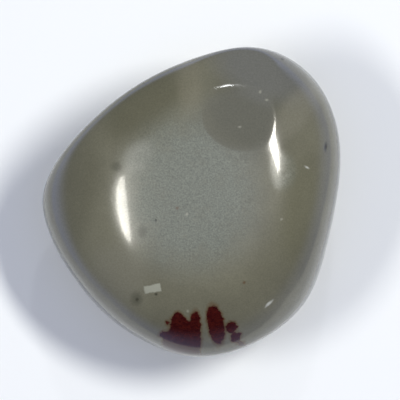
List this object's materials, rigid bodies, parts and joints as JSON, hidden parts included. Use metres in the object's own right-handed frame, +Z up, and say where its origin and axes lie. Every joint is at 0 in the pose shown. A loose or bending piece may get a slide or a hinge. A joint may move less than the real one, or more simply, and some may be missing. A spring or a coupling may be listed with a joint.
{
  "type": "tumbled porcellanite pebble",
  "caption": "Rounded three-cornered pebble of polished grey-green stone with soft facets and a shallow shell-like scar; rests on a small flat spot.",
  "frame": {"origin": "on the resting surface, below the middle of the pebble", "axes": "+Z up from the resting spot, +Y towards the pebble's pointed north end with its narrow rim, +X to the right of someone who looks down on it with +Y away from them"},
  "size_m": [0.0264, 0.0273, 0.0156],
  "materials": {
    "porcellanite": "satin"
  },
  "bodies": {
    "root": {"stone": "porcellanite"}
  },
  "joints": []
}
